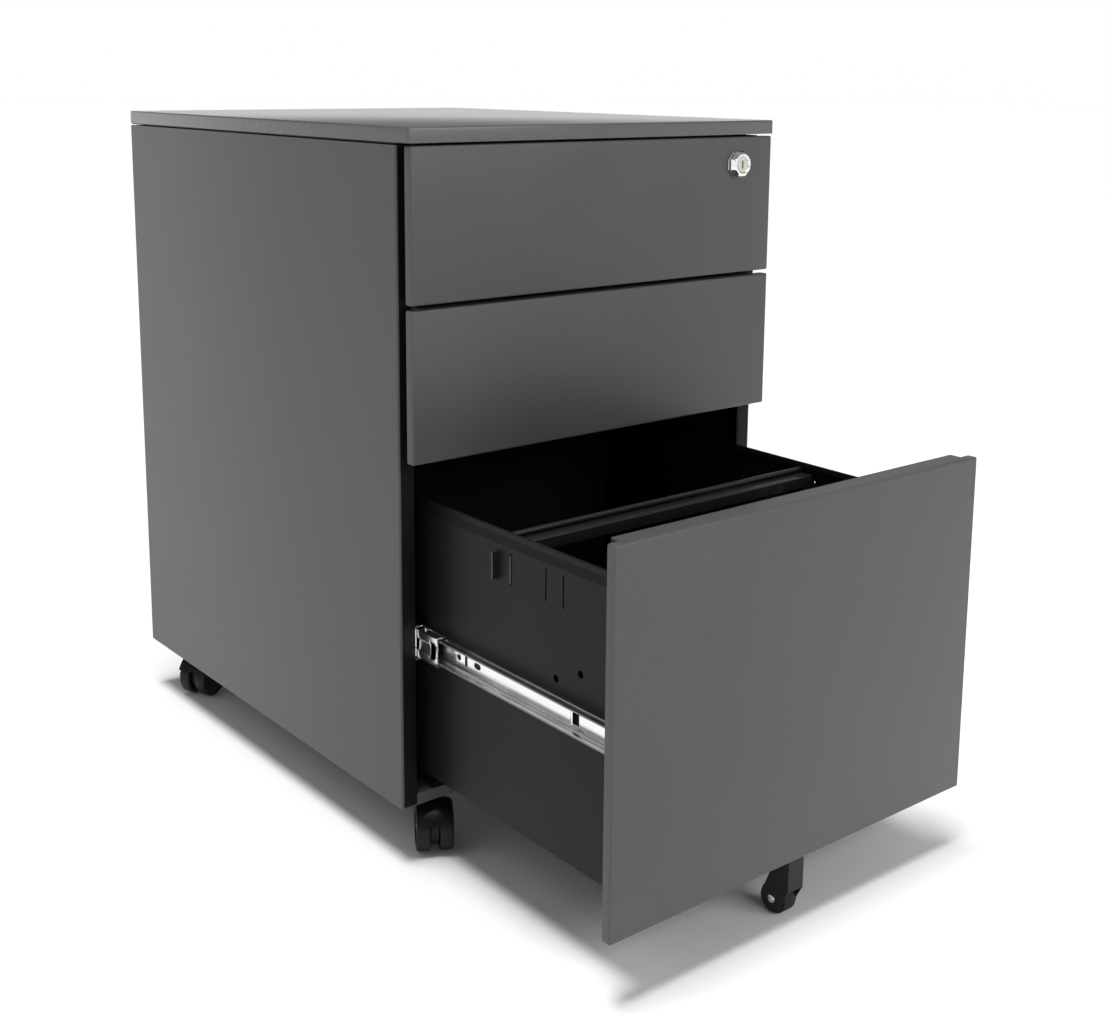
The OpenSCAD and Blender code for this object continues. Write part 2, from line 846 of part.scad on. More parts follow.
// Both wheels of one caster, each dished on its outer face and hollow behind the tread
module caster_wheels(n) {
  face = caster_w / 2;
  color(black) in_caster(n) {
    for (s = [0, 1]) {
      on_axle(0) mirror([0, 0, s]) rotate_extrude() polygon([
        [axle_r + run_fit, wheel_in],
        [axle_r + 2.5, wheel_in],
        [axle_r + 2.5, face - 2 * wheel_dish],
        [caster_r - wheel_rim_t, face - 2 * wheel_dish],
        [caster_r - wheel_rim_t, wheel_in],
        [caster_r - wheel_chamfer, wheel_in],
        [caster_r, wheel_in + wheel_chamfer],
        [caster_r, face - wheel_chamfer],
        [caster_r - wheel_chamfer, face],
        [caster_r - wheel_rim_t, face],
        [caster_r - wheel_rim_t - 1, face - wheel_dish / 2],
        [0, face - wheel_dish / 2],
        [0, axle_half + run_fit],
        [axle_r + run_fit, axle_half + run_fit]
      ]);
    }
  }
}

// ---- anti-tip wheel, under the middle of the file drawer's front ----

module tip_bracket() {
  back_z = tip_clear_z;
  color(black) in_drawer(file) difference() {
    union() {
      block([-tip_half, tip_front_y, tip_cheek_low], [tip_half, tip_front_y + tip_cheek_t, front_bottom]);
      block([-tip_half, tip_front_y, front_bottom - tip_cheek_t], [tip_half, front_d, front_bottom]);
      for (x = [-tip_half, tip_half - tip_cheek_t]) {
        along_x(x, tip_cheek_t) {
          translate([tip_axle_y, tip_r]) circle(tip_cheek_r);
          translate([tip_front_y, tip_cheek_low]) square([front_d - tip_front_y, front_bottom - tip_cheek_low]);
          polygon([
            [tip_front_y, tip_cheek_low], [tip_axle_y - tip_cheek_r, tip_r],
            [tip_axle_y + tip_cheek_r, tip_r], [tip_axle_y, back_z - 8],
            [front_d, back_z]
          ]);
        }
      }
    }
    translate([-tip_half - cut, tip_axle_y, tip_r]) rotate([0, 90, 0])
      cylinder(r = tip_axle_r, h = 2 * tip_half + 2 * cut);
  }
}

// Riveted axle with a round head outside each cheek
module tip_axle() {
  color(zinc) in_drawer(file) translate([0, tip_axle_y, tip_r]) rotate([0, 90, 0]) {
    cylinder(r = tip_axle_r, h = 2 * tip_half, center = true);
    for (s = [0, 1]) mirror([0, 0, s]) translate([0, 0, tip_half]) cylinder(r = tip_head_r, h = tip_head_t);
  }
}

module tip_wheel() {
  half = tip_w / 2;
  round = 1.2;
  color(black) in_drawer(file) translate([0, tip_axle_y, tip_r]) rotate([0, 90, 0]) rotate_extrude()
    polygon([
      [tip_axle_r + run_fit, -half], [tip_r - round, -half], [tip_r, -half + round],
      [tip_r, half - round], [tip_r - round, half], [tip_axle_r + run_fit, half]
    ]);
}

// ---- one module for each node that shares a shape ----

module top_slide_channels() { color(zinc) slide_channels(top); }
module middle_slide_channels() { color(zinc) slide_channels(middle); }
module file_slide_channels() { color(zinc) slide_channels(file); }
module top_slide_rails() { color(zinc) slide_rails(top); }
module middle_slide_rails() { color(zinc) slide_rails(middle); }
module file_slide_rails() { color(zinc) slide_rails(file); }
module top_ball_cages() { color(zinc) ball_cages(top); }
module middle_ball_cages() { color(zinc) ball_cages(middle); }
module file_ball_cages() { color(zinc) ball_cages(file); }
module top_balls() { color(chrome) balls(top); }
module middle_balls() { color(chrome) balls(middle); }
module file_balls() { color(chrome) balls(file); }

module top_drawer_front() {
  color(front_grey) difference() {
    drawer_front(top);
    in_drawer(top) lock_hole();
  }
}
module top_drawer_inner_front() {
  color(box_black) difference() {
    drawer_inner_front(top);
    in_drawer(top) lock_hole();
  }
}
module top_drawer_body() { color(box_black) drawer_body(top); }
module top_drawer_back() { color(box_black) drawer_back(top); }
module top_catch() { color(zinc) catch(top); }

module middle_drawer_front() { color(front_grey) drawer_front(middle); }
module middle_drawer_inner_front() { color(box_black) drawer_inner_front(middle); }
module middle_drawer_body() { color(box_black) drawer_body(middle); }
module middle_drawer_back() { color(box_black) drawer_back(middle); }
module middle_catch() { color(zinc) catch(middle); }

module file_drawer_front() { color(front_grey) drawer_front(file); }
module file_drawer_inner_front() { color(box_black) drawer_inner_front(file); }
module file_drawer_body() {
  color(box_black) difference() {
    drawer_body(file);
    in_drawer(file) file_side_cutters();
  }
}
module file_drawer_back() { color(box_black) drawer_back(file); }
module file_catch() { color(zinc) catch(file); }

module front_left_caster_hood() { caster_hood(0); }
module front_right_caster_hood() { caster_hood(1); }
module rear_left_caster_hood() { caster_hood(2); }
module rear_right_caster_hood() { caster_hood(3); }
module front_left_caster_axle() { caster_axle(0); }
module front_right_caster_axle() { caster_axle(1); }
module rear_left_caster_axle() { caster_axle(2); }
module rear_right_caster_axle() { caster_axle(3); }
module front_left_caster_wheels() { caster_wheels(0); }
module front_right_caster_wheels() { caster_wheels(1); }
module rear_left_caster_wheels() { caster_wheels(2); }
module rear_right_caster_wheels() { caster_wheels(3); }

top_panel();
left_side_panel();
right_side_panel();
left_liner();
right_liner();
back_panel();
bottom_pan();
top_rails();
caster_channels();
caster_plates();
caster_screws();
top_slide_channels();
middle_slide_channels();
file_slide_channels();
lock_bar_guides();
top_drawer_front();
top_drawer_inner_front();
top_drawer_body();
top_drawer_back();
top_slide_rails();
top_catch();
middle_drawer_front();
middle_drawer_inner_front();
middle_drawer_body();
middle_drawer_back();
middle_slide_rails();
middle_catch();
file_drawer_front();
file_drawer_inner_front();
file_drawer_body();
file_drawer_back();
file_slide_rails();
file_catch();
file_cross_bar();
top_ball_cages();
middle_ball_cages();
file_ball_cages();
top_balls();
middle_balls();
file_balls();
lock_housing();
lock_nut();
lock_plug();
lock_cam();
lock_bar();
tip_bracket();
tip_axle();
tip_wheel();
front_left_caster_hood();
front_right_caster_hood();
rear_left_caster_hood();
rear_right_caster_hood();
front_left_caster_axle();
front_right_caster_axle();
rear_left_caster_axle();
rear_right_caster_axle();
front_left_caster_wheels();
front_right_caster_wheels();
rear_left_caster_wheels();
rear_right_caster_wheels();
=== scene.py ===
# Mobile steel pedestal: two box drawers over a hanging-file drawer, on twin-wheel
# casters. The frame gives every place; the sheet-metal, slide, lock and caster
# pieces below stand for the plain CAD nodes, and the rest keep their own mesh.
import json
from math import cos, pi, radians, sin

import bmesh
import bpy
from mathutils import Matrix, Vector


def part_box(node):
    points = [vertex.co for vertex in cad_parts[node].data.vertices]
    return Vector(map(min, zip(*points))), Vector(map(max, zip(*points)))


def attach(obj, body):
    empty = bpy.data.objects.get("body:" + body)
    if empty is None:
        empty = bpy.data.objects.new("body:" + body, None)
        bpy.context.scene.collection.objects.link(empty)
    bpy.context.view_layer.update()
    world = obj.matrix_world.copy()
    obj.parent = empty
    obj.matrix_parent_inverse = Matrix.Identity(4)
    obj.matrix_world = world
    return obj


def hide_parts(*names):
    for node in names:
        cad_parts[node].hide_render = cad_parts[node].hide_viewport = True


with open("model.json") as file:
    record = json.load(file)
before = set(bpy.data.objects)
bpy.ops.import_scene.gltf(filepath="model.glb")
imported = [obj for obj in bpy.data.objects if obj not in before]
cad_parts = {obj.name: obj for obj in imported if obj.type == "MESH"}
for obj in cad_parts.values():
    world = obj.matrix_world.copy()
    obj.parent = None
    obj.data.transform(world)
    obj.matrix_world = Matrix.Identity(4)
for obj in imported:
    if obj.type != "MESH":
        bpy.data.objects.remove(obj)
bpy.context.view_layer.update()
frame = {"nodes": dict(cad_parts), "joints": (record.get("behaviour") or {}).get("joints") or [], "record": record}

MM = 0.001
X, Y, Z = Vector((1, 0, 0)), Vector((0, 1, 0)), Vector((0, 0, 1))
SHEET = 1.0 * MM
BEND = 1.5 * MM
SAME_PLACE = 1e-6
WELD = 0.001 * MM  # below the spacing of the verts round an axle's pole
DRAWERS = ("top", "middle", "file")
CORNERS = ("front_left", "front_right", "rear_left", "rear_right")

# ---- finishes ----


class Finish:
    """A material's node tree, with helpers for the patterns used here."""

    noise_span = (0.3, 0.7)

    def __init__(self, name, colour, roughness, metallic=0.0, specular=0.5):
        self.material = bpy.data.materials.new(name)
        self.material.use_nodes = True
        self.nodes = self.material.node_tree.nodes
        self.links = self.material.node_tree.links
        self.shader = self.nodes["Principled BSDF"]
        self.shader.inputs["Base Color"].default_value = (*colour, 1)
        self.shader.inputs["Roughness"].default_value = roughness
        self.shader.inputs["Metallic"].default_value = metallic
        self.shader.inputs["Specular IOR Level"].default_value = specular
        self.place = self.nodes.new("ShaderNodeTexCoord").outputs["Object"]

    def stretched(self, scale):
        """Object coordinates scaled per axis, for rolled or drawn metal."""
        mapping = self.nodes.new("ShaderNodeMapping")
        mapping.inputs["Scale"].default_value = scale
        self.links.new(self.place, mapping.inputs["Vector"])
        return mapping.outputs["Vector"]

    def grain(self, scale, detail=2.0, place=None):
        """A noise pattern. scale is its repeats in a metre."""
        noise = self.nodes.new("ShaderNodeTexNoise")
        noise.inputs["Scale"].default_value = scale
        noise.inputs["Detail"].default_value = detail
        self.links.new(place or self.place, noise.inputs["Vector"])
        return noise.outputs["Fac"]

    def spread(self, value, low, high):
        """Maps a pattern's usual span onto low to high."""
        span = self.nodes.new("ShaderNodeMapRange")
        span.inputs["From Min"].default_value = self.noise_span[0]
        span.inputs["From Max"].default_value = self.noise_span[1]
        span.inputs["To Min"].default_value = low
        span.inputs["To Max"].default_value = high
        self.links.new(value, span.inputs["Value"])
        return span.outputs["Result"]

    def blend(self, value, dark, light):
        """A colour between two, by a pattern."""
        mix = self.nodes.new("ShaderNodeMix")
        mix.data_type = "RGBA"
        mix.inputs["A"].default_value = (*dark, 1)
        mix.inputs["B"].default_value = (*light, 1)
        self.links.new(value, mix.inputs["Factor"])
        return mix.outputs["Result"]

    def average(self, first, second, share):
        """A mix of two patterns. share is the second's."""
        mix = self.nodes.new("ShaderNodeMix")
        mix.inputs["Factor"].default_value = share
        self.links.new(first, mix.inputs["A"])
        self.links.new(second, mix.inputs["B"])
        return mix.outputs["Result"]

    def vary(self, socket, value):
        self.links.new(value, self.shader.inputs[socket])

    def bump(self, height, strength, depth):
        node = self.nodes.new("ShaderNodeBump")
        node.inputs["Strength"].default_value = strength
        node.inputs["Distance"].default_value = depth
        self.links.new(height, node.inputs["Height"])
        self.links.new(node.outputs["Normal"], self.shader.inputs["Normal"])


def shade(colour, factor):
    return tuple(c * factor for c in colour)


def powder_coat(name, colour, roughness, specular=0.5):
    """Satin powder coat: a fine pebbled skin over a faint unevenness of colour."""
    pebbles, ripple, clouds = 1100, 320, 9
    finish = Finish(name, colour, roughness, specular=specular)
    grain = finish.grain(pebbles, detail=3)
    cloud = finish.grain(clouds, detail=2)
    speckle = finish.average(grain, cloud, 0.35)
    finish.vary("Base Color", finish.blend(
        finish.spread(speckle, 0, 1), shade(colour, 0.86), shade(colour, 1.14)))
    finish.vary("Roughness", finish.spread(speckle, roughness - 0.05, roughness + 0.05))
    finish.bump(finish.average(grain, finish.grain(ripple), 0.4), 0.3, 0.12 * MM)
    return finish.material


def moulded(name, colour, roughness, specular=0.18):
    """Moulded nylon: a fine spark-eroded texture with faint flow marks."""
    texture, flow_marks = 1500, 45
    finish = Finish(name, colour, roughness, specular=specular)
    grain = finish.grain(texture)
    flow = finish.grain(flow_marks, detail=3)
    finish.vary("Base Color", finish.blend(
        flow, shade(colour, 0.75), shade(colour, 1.3)))
    finish.vary("Roughness", finish.spread(flow, roughness - 0.08, roughness + 0.08))
    finish.bump(grain, 0.2, 0.08 * MM)
    return finish.material


def plated(name, colour, roughness, along=(1, 1, 1), depth=0.02 * MM):
    """Plated metal, with rolling marks drawn out along one axis."""
    rolling, clouds = 420, 38
    finish = Finish(name, colour, roughness, metallic=1.0)
    marks = finish.grain(rolling, detail=3, place=finish.stretched(along))
    cloud = finish.grain(clouds, detail=2)
    mixed = finish.average(marks, cloud, 0.45)
    finish.vary("Base Color", finish.blend(
        finish.spread(mixed, 0, 1), shade(colour, 0.9), shade(colour, 1.06)))
    finish.vary("Roughness", finish.spread(mixed, roughness * 0.7, roughness * 1.4))
    finish.bump(marks, 0.25, depth)
    return finish.material


GREY = (0.073, 0.073, 0.0762)
shell_paint = powder_coat("shell_powder_coat", GREY, 0.42, specular=0.36)
front_paint = powder_coat(
    "front_powder_coat", shade(GREY, 0.94), 0.42, specular=0.34)
top_paint = powder_coat("top_powder_coat", GREY, 0.3)
top_shader = top_paint.node_tree.nodes["Principled BSDF"]
top_shader.inputs["Coat Weight"].default_value = 0.8
top_shader.inputs["Coat IOR"].default_value = 1.3
top_shader.inputs["Coat Roughness"].default_value = 0.2
inner_paint = powder_coat(
    "inner_powder_coat", (0.0085, 0.0085, 0.0092), 0.4, specular=0.12)
black_paint = powder_coat(
    "black_bracket_paint", (0.01, 0.01, 0.0104), 0.4, specular=0.25)
bar_paint = powder_coat(
    "file_bar_enamel", (0.012, 0.012, 0.0126), 0.17, specular=0.8)
zinc = plated("bright_zinc", (0.86, 0.87, 0.88), 0.2, along=(1, 0.06, 1))
ball_steel = plated("ball_steel", (0.75, 0.76, 0.78), 0.1)
chrome = plated("lock_chrome", (0.9, 0.9, 0.92), 0.07, depth=0.005 * MM)
nickel = plated("lock_plug_nickel", (0.62, 0.6, 0.53), 0.28)
tread = moulded("caster_tread_nylon", (0.011, 0.011, 0.0115), 0.46)
hood_nylon = moulded("caster_hood_nylon", (0.008, 0.008, 0.0085), 0.34)

FINISHES = {
    "shell_paint": shell_paint,
    "front_paint": front_paint,
    "inner_paint": inner_paint,
    "black_paint": black_paint,
    "zinc_plate": zinc,
    "ball_steel": ball_steel,
    "lock_chrome": nickel,
    "caster_plastic": tread,
}
for part in frame["record"]["subparts"]:
    for material_slot in frame["nodes"][part["node"]].material_slots:
        material_slot.material = FINISHES[part["material_slot"]]

# ---- how a piece is started and finished ----


def new_object(name, data):
    thing = bpy.data.objects.new(name, data)
    bpy.context.scene.collection.objects.link(thing)
    return thing


def finish_piece(name, bm, body, material, replaced=(), smooth=32):
    """Makes a finished bmesh a piece that rides on its body. Edges sharper than
    smooth degrees stay crisp."""
    bmesh.ops.remove_doubles(bm, verts=bm.verts[:], dist=WELD)
    bmesh.ops.recalc_face_normals(bm, faces=bm.faces[:])
    mesh = bpy.data.meshes.new(name)
    bm.to_mesh(mesh)
    bm.free()
    mesh.materials.append(material)
    mesh.shade_smooth()
    mesh.set_sharp_from_angle(angle=radians(smooth))
    piece = new_object(name, mesh)
    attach(piece, body)
    if replaced:
        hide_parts(*replaced)


def add_box(bm, low, high):
    size = high - low
    place = Matrix.Translation((low + high) / 2) @ Matrix.Diagonal((*size, 1))
    bmesh.ops.create_cube(bm, size=1, matrix=place)


def add_rod(bm, radius, length, segments, place):
    """A capped rod along its own Z, moved to its place by a matrix."""
    bmesh.ops.create_cone(bm, cap_ends=True, segments=segments, radius1=radius,
                          radius2=radius, depth=length, matrix=place)


def round_edges(bm, edges, radius, segments=3):
    bmesh.ops.bevel(bm, geom=edges, offset=radius, segments=segments, profile=0.5,
                    affect="EDGES", material=-1)


def folded_pan(low, high, *open_sides, bend=BEND):
    """The skin of a pan folded from sheet: a box with open sides and round bends."""
    bm = bmesh.new()
    add_box(bm, low, high)
    gone = [f for f in bm.faces if any(f.normal.dot(side) > 0.9 for side in open_sides)]
    bmesh.ops.delete(bm, geom=gone, context="FACES")
    round_edges(bm, [e for e in bm.edges if not e.is_boundary], bend)
    return bm


def thicken(bm, thickness=SHEET):
    """Gives a skin its sheet thickness, inwards."""
    bmesh.ops.recalc_face_normals(bm, faces=bm.faces[:])
    bmesh.ops.solidify(bm, geom=bm.faces[:], thickness=thickness)


def draw_out(bm, edges):
    """Draws a line of edges out to a flange of no width. Returns its new verts."""
    made = bmesh.ops.extrude_edge_only(bm, edges=edges)["geom"]
    return [g for g in made if isinstance(g, bmesh.types.BMVert)]


def open_edges(bm, inside):
    """Open edges whose two ends pass a test on their place."""
    return [e for e in bm.edges if e.is_boundary and all(inside(v.co) for v in e.verts)]


def each_once(items):
    """A list without repeats, in a settled order."""
    return list(dict.fromkeys(items))


def split(bm, faces, point, normal):
    """Cuts these faces along a plane."""
    geom = each_once(g for f in faces for g in (f, *f.edges, *f.verts))
    bmesh.ops.bisect_plane(bm, geom=geom, plane_co=point, plane_no=normal, dist=1e-7)


def face_at(bm, point, axis):
    """The flat face square to an axis that holds a point."""
    others = [k for k in range(3) if k != axis]
    for face in bm.faces:
        if abs(face.normal[axis]) < 0.99:
            continue
        spots = [v.co for v in face.verts]
        if abs(spots[0][axis] - point[axis]) > 0.05 * MM:
            continue
        if all(min(s[k] for s in spots) <= point[k] <= max(s[k] for s in spots)
               for k in others):
            return face
    raise ValueError(f"no flat face at {point}")


def punch(bm, point, axis, sizes, corner, rim=1.0 * MM):
    """Opens a hole with round corners in a flat wall. sizes are its length along the
    two axes other than axis. Returns the edges of the hole."""
    others = [k for k in range(3) if k != axis]
    for k, size in zip(others, sizes):
        for sign in (-1, 1):
            step = Vector((0, 0, 0))
            step[k] = sign
            split(bm, [face_at(bm, point, axis)], point + step * (size / 2 + rim), step)
    bmesh.ops.inset_individual(bm, faces=[face_at(bm, point, axis)], thickness=rim)
    bmesh.ops.bevel(bm, geom=face_at(bm, point, axis).verts[:], offset=corner,
                    segments=5, profile=0.5, affect="VERTICES", material=-1)
    hole = face_at(bm, point, axis)
    border = hole.edges[:]
    bmesh.ops.delete(bm, geom=[hole], context="FACES_ONLY")
    return border


def run_profile(bm, points, place, y0, y1, bend):
    """Runs an open outline along Y, with its corners rounded. place turns an outline
    point into a place."""
    verts = [bm.verts.new(place(p, y0)) for p in points]
    line = [bm.edges.new(pair) for pair in zip(verts, verts[1:])]
    moved = draw_out(bm, line)
    bmesh.ops.translate(bm, verts=moved, vec=Y * (y1 - y0))
    inner = [e for v in verts[1:-1] for e in v.link_edges if e.other_vert(v) in moved]
    round_edges(bm, inner, bend, 2)


def skin_rings(bm, rings):
    """Skins a list of rings, each a list of points, and closes the last on the
    first."""
    first = [bm.verts.new(p) for p in rings[0]]
    loop = [bm.edges.new((first[k], first[(k + 1) % len(first)]))
            for k in range(len(first))]
    for ring in rings[1:] + rings[:1]:
        made = bmesh.ops.extrude_edge_only(bm, edges=loop)["geom"]
        mates = {v: e.other_vert(v) for v in first for e in v.link_edges
                 if e.other_vert(v) in made}
        first = [mates[v] for v in first]
        for vert, point in zip(first, ring):
            vert.co = point
        loop = [g for g in made if isinstance(g, bmesh.types.BMEdge)
                and all(v in first for v in g.verts)]


def turned(bm, outline, centre, axis, square, steps=64, start=0.0, angle=2 * pi):
    """Spins a closed outline of (radius, distance along axis) points round an axis.
    Less than a full turn gets an end cap."""
    verts = [bm.verts.new(centre + square * r + axis * a) for r, a in outline]
    edges = [bm.edges.new((verts[k], verts[(k + 1) % len(verts)]))
             for k in range(len(verts))]
    if start:
        bmesh.ops.rotate(bm, verts=verts, cent=centre,
                         matrix=Matrix.Rotation(start, 3, axis))
    full = abs(angle - 2 * pi) < SAME_PLACE
    geom = verts + edges if full else edges + [bm.faces.new(verts)] + verts
    bmesh.ops.spin(bm, geom=geom, cent=centre, axis=axis, angle=angle, steps=steps,
                   use_merge=full, use_duplicate=False)


def mirrored(half):
    """An outline and its mirror image below the middle."""
    return half + [(u, -v) for u, v in reversed(half)]


def in_mm(outline):
    return [(u * MM, v * MM) for u, v in outline]


# ---- carcass ----


def build_top():
    """Folded top with a lip turned in underneath."""
    low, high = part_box("top_panel")
    lip = 12 * MM
    bm = folded_pan(low, high, -Z, bend=1.6 * MM)
    centre = (low + high) / 2
    half = (high - low) / 2
    for vert in draw_out(bm, [e for e in bm.edges if e.is_boundary]):
        for k in (0, 1):
            inset = (half[k] - lip) / half[k]
            vert.co[k] = centre[k] + (vert.co[k] - centre[k]) * inset
    thicken(bm)
    finish_piece("top_cover", bm, "cabinet", top_paint, ["top_panel"])


def build_side(side, sign):
    """Outer side skin, folded in at the front, the back and the bottom."""
    hem, overlap = 2.2 * MM, 0.3 * MM
    strip_back, strip_lift, strip_depth = 0.5 * MM, 1.6 * MM, 12 * MM
    node = f"{side}_side_panel"
    low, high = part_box(node)
    bm = folded_pan(low, high, X * -sign, Z)
    outer = low.x if sign < 0 else high.x
    inner = high.x if sign < 0 else low.x
    seam = outer - sign * hem
    spot = Vector(((inner + seam) / 2, low.y, (low.z + high.z) / 2))
    split(bm, [face_at(bm, spot, 1)], Vector((seam, 0, 0)), X)
    bmesh.ops.delete(bm, geom=[face_at(bm, spot, 1)], context="FACES")
    thicken(bm)
    finish_piece(f"{side}_side_skin", bm, "cabinet", shell_paint, [node])

    # A strip in the near-black inner paint stands between the skin's hem and the drawers: painted shade for the
    # grey front flange, which lies in the shade of the drawer fronts
    start = seam - sign * overlap
    bm = folded_pan(Vector((min(start, inner), low.y + strip_back, low.z + strip_lift)),
                    Vector((max(start, inner), low.y + strip_depth, high.z)),
                    X * sign, Y, Z, -Z)
    thicken(bm)
    finish_piece(f"{side}_shaded_flange", bm, "cabinet", inner_paint)


def build_front(name):
    """Drawer front: side returns, deeper top and bottom flanges, slits at their
    corners."""
    node = f"{name}_drawer_front"
    low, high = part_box(node)
    inner_low, inner_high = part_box(f"{name}_drawer_inner_front")
    return_d = 8 * MM
    slit_w, slit_d = 1.5 * MM, 3 * MM
    back = low.y + return_d
    bm = folded_pan(low, Vector((high.x, back, high.z)), Y)
    for level in (high.z, low.z):
        for edge_x, out in ((inner_low.x, -1), (inner_high.x, 1)):
            spot = Vector((edge_x + out * slit_w / 2, back - slit_d / 2, level))
            split(bm, [face_at(bm, spot, 2)], Vector((edge_x, 0, 0)), X)
            split(bm, [face_at(bm, spot, 2)], spot + X * out * slit_w / 2, X)
            split(bm, [face_at(bm, spot, 2)], Vector((0, back - slit_d, 0)), Y)
            bmesh.ops.delete(bm, geom=[face_at(bm, spot, 2)], context="FACES")
        left, right = inner_low.x - SAME_PLACE, inner_high.x + SAME_PLACE
        deep = open_edges(bm, lambda p: abs(p.y - back) < SAME_PLACE
                          and abs(p.z - level) < SAME_PLACE and left < p.x < right)
        for vert in draw_out(bm, deep):
            vert.co.y = high.y
    if name == "top":
        lock_low, lock_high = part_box("lock_housing")
        eye = (lock_low + lock_high) / 2
        lock_hole = 18 * MM
        punch(bm, Vector((eye.x, low.y, eye.z)), 1, (lock_hole, lock_hole), 8.99 * MM)
    thicken(bm)
    finish_piece(f"{name}_front_skin", bm, f"{name}_drawer", front_paint,
                 [node])


# ---- slides ----

WALL_X = abs(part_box("file_slide_channels")[0].x)

# Outlines are (distance from the wall, height over the slide's middle) in mm
RAIL_WEB = 12.7
RAIL = mirrored([(3.6, 10.3), (4.4, 9.5), (9.0, 9.5), (10.0, 10.5), (RAIL_WEB, 10.5)])
CAGE_FLANGE = 11.7
CAGE = mirrored([(9.3, CAGE_FLANGE), (1.8, CAGE_FLANGE), (1.8, 5.2), (2.8, 4.0)])
TRACK_BEND = 0.5 * MM

# Distance behind the drawer's face, length and height of each hole in mm
RAIL_HOLES = [(188, 8, 4.5), (202.8, 3, 9), (212.3, 4.5, 4.5), (391.75, 8, 4.5)]
RAIL_WINDOW = (69.5, 9, 10)
TAB_LIFT, TAB_REACH = 2.6 * MM, 4 * MM

BALL_R = 1.8 * MM
BALL_COUNT = 6
CAGE_SHEET = 0.8 * MM
CAGE_NOSE = 8.5 * MM


def on_wall(sign, z0):
    """Places (distance from the wall, height) points on one wall."""
    return lambda p, y: Vector((sign * (WALL_X - p[0] * MM), y, z0 + p[1] * MM))


def build_rails(name):
    """Drawer members: rolled ball tracks, punched holes and a window with a bent
    tab."""
    node = f"{name}_slide_rails"
    low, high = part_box(node)
    z0 = (low.z + high.z) / 2
    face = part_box(f"{name}_drawer_front")[0].y
    bm = bmesh.new()
    for sign in (-1, 1):
        place = on_wall(sign, z0)
        run_profile(bm, RAIL, place, low.y, high.y, TRACK_BEND)
        web = place((RAIL_WEB, 0), 0).x
        for y, length, height in RAIL_HOLES:
            corner = 1.2 if height > length else height / 2 - 0.01
            punch(bm, Vector((web, face + y * MM, z0)), 0, (length * MM, height * MM),
                  corner * MM, rim=0.8 * MM)
        y, length, height = RAIL_WINDOW
        window = punch(bm, Vector((web, face + y * MM, z0)), 0,
                       (length * MM, height * MM), 0.6 * MM)
        back = face + (y + length / 2 - 0.1) * MM
        hinge = [e for e in window if all(v.co.y > back for v in e.verts)]
        bmesh.ops.translate(bm, verts=draw_out(bm, hinge),
                            vec=(sign * TAB_LIFT, -TAB_REACH, 0))
    thicken(bm)
    finish_piece(f"{name}_rail_pair", bm, f"{name}_drawer", zinc, [node])


def build_cages(name):
    """Ball cages: a stamped web with ball windows, an opening behind the front edge
    and a flared end."""
    node = f"{name}_ball_cages"
    low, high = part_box(node)
    z0 = (low.z + high.z) / 2
    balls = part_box(f"{name}_balls")
    first, last = balls[0].y + BALL_R, balls[1].y - BALL_R
    front = low.y - CAGE_NOSE
    ball_window = 3.9 * MM
    bm = bmesh.new()
    for sign in (-1, 1):
        place = on_wall(sign, z0)
        run_profile(bm, CAGE, place, front, high.y, TRACK_BEND)
        for n in range(BALL_COUNT):
            y = first + (last - first) * n / (BALL_COUNT - 1)
            for level in (-CAGE_FLANGE, CAGE_FLANGE):
                punch(bm, place((7, level), y), 2, (ball_window, ball_window),
                      1.94 * MM, rim=0.2 * MM)

    opening_y = (front + 3 * MM, front + 11 * MM)
    opening_z = 7.4 * MM
    web_x = WALL_X - 3.2 * MM

    def web_faces():
        return [f for f in bm.faces if abs(f.calc_center_median().x) > web_x]

    for y in opening_y:
        split(bm, web_faces(), Vector((0, y, 0)), Y)
    for level in (z0 - opening_z, z0 + opening_z):
        split(bm, web_faces(), Vector((0, 0, level)), Z)
    opened = [f for f in web_faces()
              if opening_y[0] < f.calc_center_median().y < opening_y[1]
              and abs(f.calc_center_median().z - z0) < opening_z]
    bmesh.ops.delete(bm, geom=opened, context="FACES")

    # The front edge flares at its corners and is set back in its middle
    flare, set_back = 0.7 * MM, 1.1 * MM
    for vert in bm.verts:
        off = vert.co.z - z0
        if abs(vert.co.y - front) < 0.01 * MM:
            if abs(off) > 11 * MM:
                vert.co.z += flare if off > 0 else -flare
            elif abs(off) < 4.6 * MM and abs(vert.co.x) > web_x:
                vert.co.y += set_back
    thicken(bm, CAGE_SHEET)
    finish_piece(f"{name}_cage_pair", bm, f"{name}_cages", zinc, [node])


# ---- hanging-file bar ----


